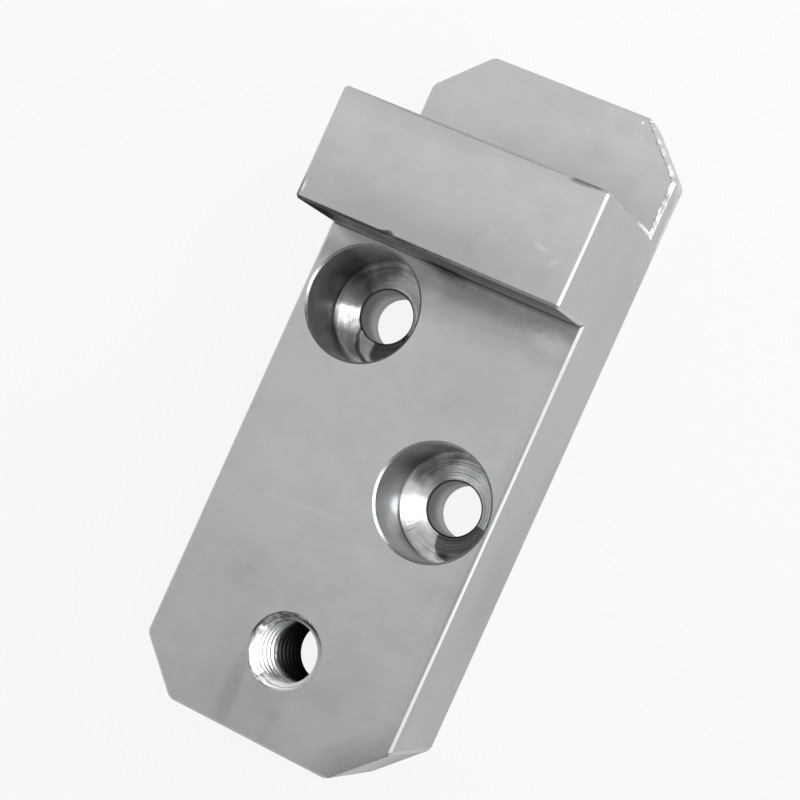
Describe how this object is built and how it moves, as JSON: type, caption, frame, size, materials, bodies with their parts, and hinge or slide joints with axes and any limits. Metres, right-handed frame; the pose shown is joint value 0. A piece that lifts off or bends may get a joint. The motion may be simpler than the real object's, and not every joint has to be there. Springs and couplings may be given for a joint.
{
  "type": "mounting block",
  "caption": "Milled metal mounting block: a thick plate with a raised cross ridge, a thin tongue beyond it, counterbored screw holes and a tapped hole.",
  "frame": {"origin": "middle of the flat back face, which is the bottom centre of the whole block", "axes": "+Z out of the back face through the plate towards the ridge's top, +Y along the block from the tapped end to the tongue, +X across it"},
  "size_m": [0.03, 0.078, 0.0285],
  "materials": {
    "machined_steel": "satin"
  },
  "bodies": {
    "root": {"mounting_block": "machined_steel"}
  },
  "joints": []
}
